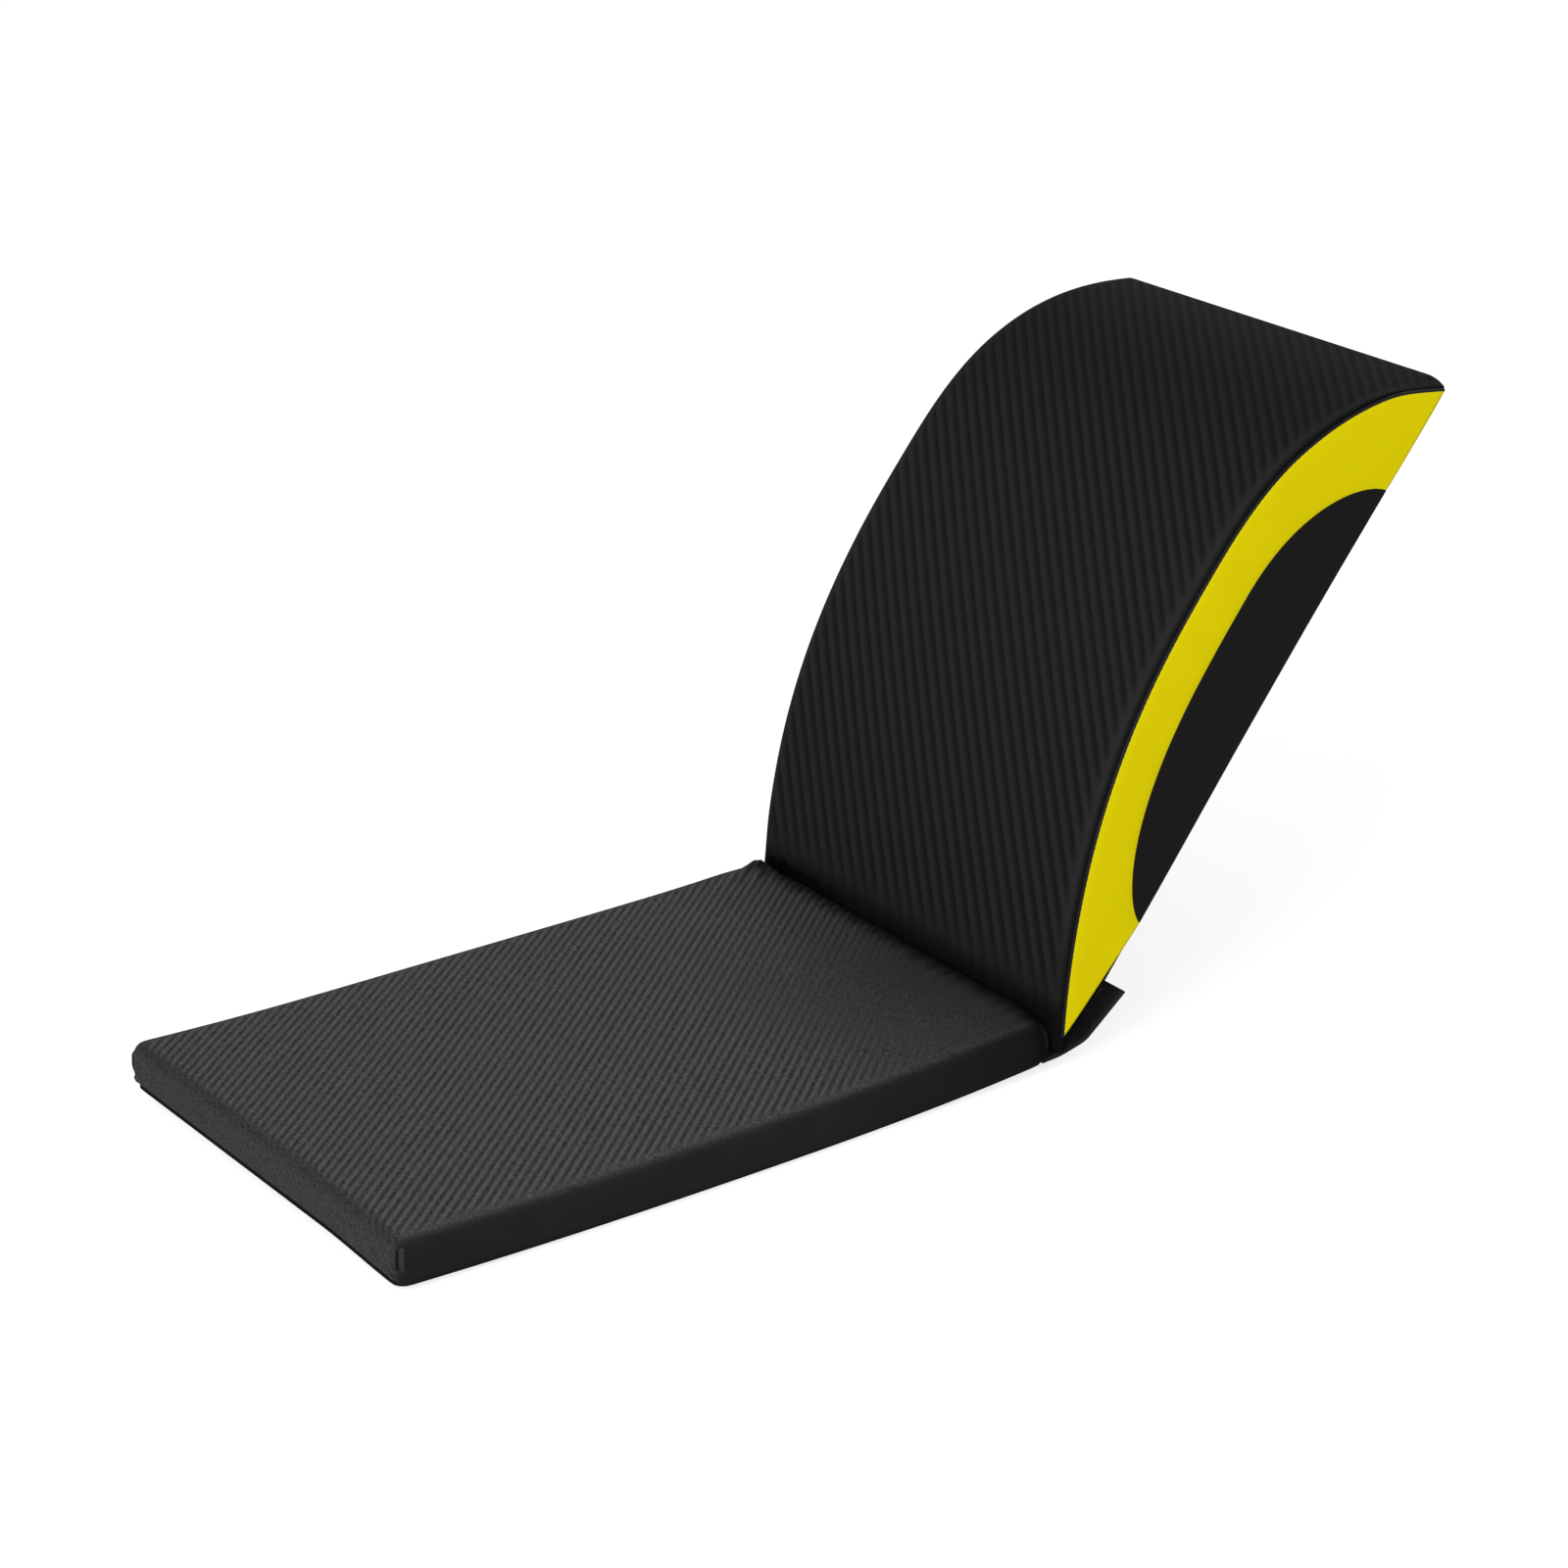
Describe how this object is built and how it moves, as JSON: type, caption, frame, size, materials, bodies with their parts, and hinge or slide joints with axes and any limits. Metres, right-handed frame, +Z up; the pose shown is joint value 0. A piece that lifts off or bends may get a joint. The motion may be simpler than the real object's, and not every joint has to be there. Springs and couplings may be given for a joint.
{
  "type": "folding sit-up mat",
  "caption": "Folding sit-up mat: a flat padded slab hinged by a cloth flap to a domed foam wedge that stands half raised behind it, with arched side panels.",
  "frame": {"origin": "centre of the slab's flat underside, on the floor", "axes": "+X along the slab towards the wedge, +Y across the mat, +Z up"},
  "size_m": [0.6378, 0.254, 0.3187],
  "materials": {
    "firm_rubber_foam": "closed-cell foam",
    "soft_foam": "open-cell foam",
    "embossed_leathercloth": "embossed with a fine diagonal weave, satin",
    "ribbed_leathercloth": "fine lengthwise ribs, satin",
    "smooth_leathercloth": "smooth, satin",
    "yellow_leathercloth": "smooth, satin",
    "nonslip_cloth": "matt, rubber-dotted cloth",
    "flap_cloth": "matt woven",
    "fastening_tape": "hook-and-loop pile"
  },
  "bodies": {
    "pad": {"pad_foam": "firm_rubber_foam", "pad_cover": "embossed_leathercloth", "pad_base": "nonslip_cloth", "pad_corner_welt_1": "embossed_leathercloth", "pad_corner_welt_2": "embossed_leathercloth", "pad_corner_welt_3": "embossed_leathercloth", "pad_corner_welt_4": "embossed_leathercloth", "hinge_flap": "flap_cloth", "flap_hook_tape": "fastening_tape"},
    "wedge": {"wedge_foam": "soft_foam", "dome_cover": "ribbed_leathercloth", "wedge_base": "nonslip_cloth", "side_panel_left": "yellow_leathercloth", "side_panel_right": "yellow_leathercloth", "side_inset_left": "smooth_leathercloth", "side_inset_right": "smooth_leathercloth", "wedge_loop_tape": "fastening_tape"}
  },
  "joints": [
    {"name": "wedge_tilt", "type": "hinge", "parent": "pad", "child": "wedge", "pos_m": [0.1967, 0, 0.0047], "axis": [0, 1, 0], "range_deg": [0, 52], "deforming": ["hinge_flap", "flap_hook_tape"]}
  ]
}
